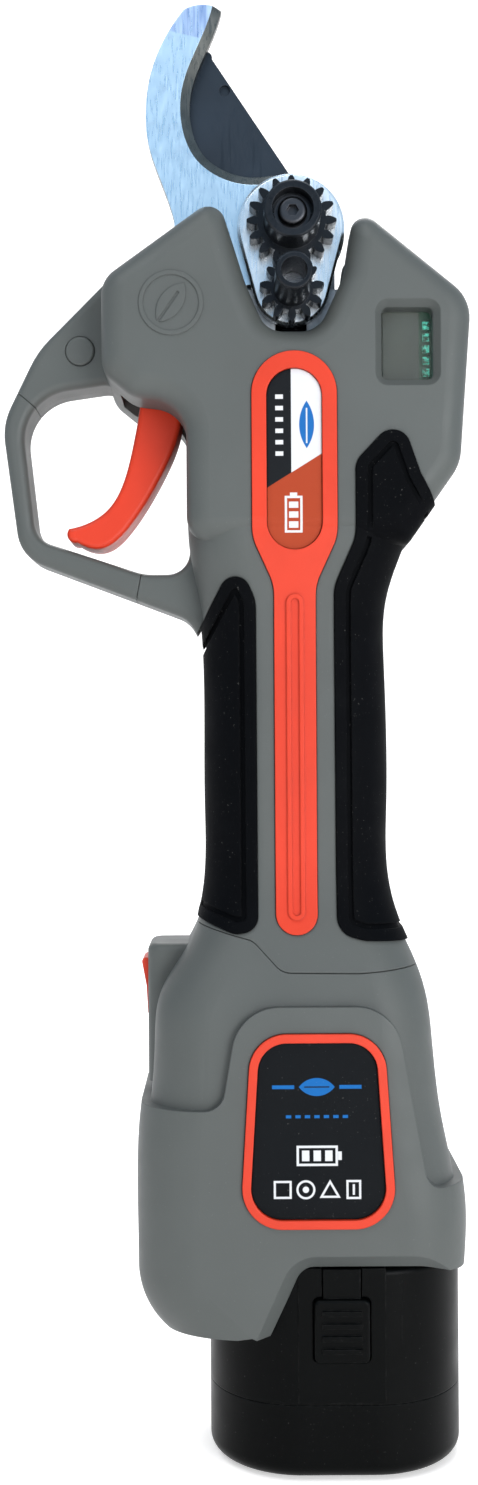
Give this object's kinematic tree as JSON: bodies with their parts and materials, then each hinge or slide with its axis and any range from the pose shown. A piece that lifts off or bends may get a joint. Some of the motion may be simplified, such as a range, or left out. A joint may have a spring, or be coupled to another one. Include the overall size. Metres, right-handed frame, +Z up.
{
  "type": "battery electric pruner",
  "caption": "Pistol-grip battery pruner: a geared curved blade closes past a fixed hook blade, worked by a guarded trigger above a clip-in battery.",
  "frame": {"origin": "on the battery's flat base, straight below the handle axis and the blade pivot, on the plane where the two shells meet", "axes": "+Z up along the handle to the blades, +X to the palm side (the trigger is on -X), -Y to the open gear side"},
  "size_m": [0.0926, 0.0527, 0.2906],
  "materials": {
    "shell_grey": "satin moulded glass-filled nylon",
    "rubber_black": "matt overmoulded rubber",
    "orange_plastic": "semi-gloss moulded",
    "plate_print": "printed film",
    "label_black": "printed film",
    "black_plastic": "fine-textured moulded",
    "clear_window": "clear lens",
    "circuit_board": "solder-masked board",
    "blade_steel": "ground and polished",
    "coated_blade": "dark low-friction coating",
    "gear_steel": "black oxide",
    "plate_steel": "brushed",
    "screw_steel": "zinc and oil",
    "cast_aluminium": "die cast",
    "bearing_steel": "ground",
    "motor_steel": "zinc plated",
    "magnet": "sintered ferrite",
    "copper": "enamelled windings",
    "contact_brass": "plated",
    "wire_red": "silicone insulation",
    "cell_wrap": "shrink sleeve"
  },
  "bodies": {
    "housing": {"front_shell": "shell_grey", "rear_shell": "shell_grey", "battery_housing_front": "shell_grey", "battery_housing_rear": "shell_grey", "finger_grip_front": "rubber_black", "finger_grip_rear": "rubber_black", "palm_grip_front": "rubber_black", "palm_grip_rear": "rubber_black", "front_trim": "orange_plastic", "rear_trim": "orange_plastic", "name_plate": "plate_print", "label_frame": "orange_plastic", "rating_label": "label_black", "guard_bow": "shell_grey", "shell_screws": "screw_steel", "guard_cap": "shell_grey", "display_window": "clear_window", "display_board": "circuit_board", "gear_case": "cast_aluminium", "gear_plate": "plate_steel", "bearings": "bearing_steel", "fixed_blade": "blade_steel", "blade_screws": "screw_steel", "ring_gear": "bearing_steel", "motor_can": "motor_steel", "motor_magnets": "magnet", "motor_end_cap": "black_plastic", "controller_board": "circuit_board", "motor_wires": "wire_red", "terminal_block": "black_plastic", "terminal_blades": "contact_brass", "trigger_sensor": "black_plastic", "trigger_pin": "bearing_steel"},
    "rotor": {"motor_shaft": "bearing_steel", "armature": "copper", "sun_gear": "gear_steel"},
    "first_stage": {"stage1_carrier": "gear_steel"},
    "planet_1a_body": {"planet_1a": "gear_steel"},
    "planet_1b_body": {"planet_1b": "gear_steel"},
    "planet_1c_body": {"planet_1c": "gear_steel"},
    "second_stage": {"output_carrier": "gear_steel", "bevel_pinion": "gear_steel"},
    "planet_2a_body": {"planet_2a": "gear_steel"},
    "planet_2b_body": {"planet_2b": "gear_steel"},
    "planet_2c_body": {"planet_2c": "gear_steel"},
    "spindle": {"drive_spindle": "bearing_steel", "drive_pinion": "gear_steel", "bevel_gear": "gear_steel"},
    "blade": {"moving_blade": "coated_blade", "blade_shaft": "bearing_steel", "driven_gear": "gear_steel", "gear_screw": "screw_steel", "pivot_nut": "screw_steel"},
    "trigger_body": {"trigger": "orange_plastic"},
    "switch": {"power_rocker": "orange_plastic"},
    "battery": {"battery_case": "black_plastic", "battery_base": "black_plastic", "battery_cells": "cell_wrap"},
    "latch_front_body": {"latch_front": "black_plastic"},
    "latch_rear_body": {"latch_rear": "black_plastic"}
  },
  "joints": [
    {"name": "motor_spin", "type": "hinge", "parent": "housing", "child": "rotor", "pos_m": [0, 0, 0.165], "axis": [0, 0, -1], "range_deg": [0, 1620]},
    {"name": "first_stage_turn", "type": "hinge", "parent": "housing", "child": "first_stage", "pos_m": [0, 0, 0.2], "axis": [0, 0, -1], "range_deg": [0, 360]},
    {"name": "planet_1a_spin", "type": "hinge", "parent": "first_stage", "child": "planet_1a_body", "pos_m": [0, 0.00675, 0.1955], "axis": [0, 0, -1], "range_deg": [-1008, 0]},
    {"name": "planet_1b_spin", "type": "hinge", "parent": "first_stage", "child": "planet_1b_body", "pos_m": [-0.00585, -0.00337, 0.1955], "axis": [0, 0, -1], "range_deg": [-1008, 0]},
    {"name": "planet_1c_spin", "type": "hinge", "parent": "first_stage", "child": "planet_1c_body", "pos_m": [0.00585, -0.00337, 0.1955], "axis": [0, 0, -1], "range_deg": [-1008, 0]},
    {"name": "second_stage_turn", "type": "hinge", "parent": "housing", "child": "second_stage", "pos_m": [0, 0, 0.208], "axis": [0, 0, -1], "range_deg": [0, 80]},
    {"name": "planet_2a_spin", "type": "hinge", "parent": "second_stage", "child": "planet_2a_body", "pos_m": [0, 0.00675, 0.2035], "axis": [0, 0, -1], "range_deg": [-224, 0]},
    {"name": "planet_2b_spin", "type": "hinge", "parent": "second_stage", "child": "planet_2b_body", "pos_m": [-0.00585, -0.00337, 0.2035], "axis": [0, 0, -1], "range_deg": [-224, 0]},
    {"name": "planet_2c_spin", "type": "hinge", "parent": "second_stage", "child": "planet_2c_body", "pos_m": [0.00585, -0.00337, 0.2035], "axis": [0, 0, -1], "range_deg": [-224, 0]},
    {"name": "spindle_turn", "type": "hinge", "parent": "housing", "child": "spindle", "pos_m": [0, 0, 0.2315], "axis": [0, -1, 0], "range_deg": [0, 80]},
    {"name": "blade_turn", "type": "hinge", "parent": "housing", "child": "blade", "pos_m": [0, 0, 0.245], "axis": [0, 1, 0], "range_deg": [0, 55]},
    {"name": "trigger_pull", "type": "hinge", "parent": "housing", "child": "trigger_body", "pos_m": [-0.025, 0, 0.2178], "axis": [0, -1, 0], "range_deg": [0, 14]},
    {"name": "switch_rock", "type": "hinge", "parent": "housing", "child": "switch", "pos_m": [-0.0264, 0, 0.0927], "axis": [0, 1, 0], "range_deg": [0, 14]},
    {"name": "battery_slide", "type": "slide", "parent": "housing", "child": "battery", "axis": [0, 0, -1], "range_m": [0, 0.06]},
    {"name": "latch_front_press", "type": "slide", "parent": "battery", "child": "latch_front_body", "axis": [0, 1, 0], "range_m": [0, 0.0015]},
    {"name": "latch_rear_press", "type": "slide", "parent": "battery", "child": "latch_rear_body", "axis": [0, -1, 0], "range_m": [0, 0.0015]}
  ],
  "couplings": [
    {"joint": "first_stage_turn", "follows": "motor_spin", "ratio": 0.22222},
    {"joint": "planet_1a_spin", "follows": "motor_spin", "ratio": -0.62222},
    {"joint": "planet_1b_spin", "follows": "motor_spin", "ratio": -0.62222},
    {"joint": "planet_1c_spin", "follows": "motor_spin", "ratio": -0.62222},
    {"joint": "second_stage_turn", "follows": "motor_spin", "ratio": 0.049383},
    {"joint": "planet_2a_spin", "follows": "motor_spin", "ratio": -0.13827},
    {"joint": "planet_2b_spin", "follows": "motor_spin", "ratio": -0.13827},
    {"joint": "planet_2c_spin", "follows": "motor_spin", "ratio": -0.13827},
    {"joint": "spindle_turn", "follows": "motor_spin", "ratio": 0.049383},
    {"joint": "blade_turn", "follows": "motor_spin", "ratio": 0.033951}
  ]
}
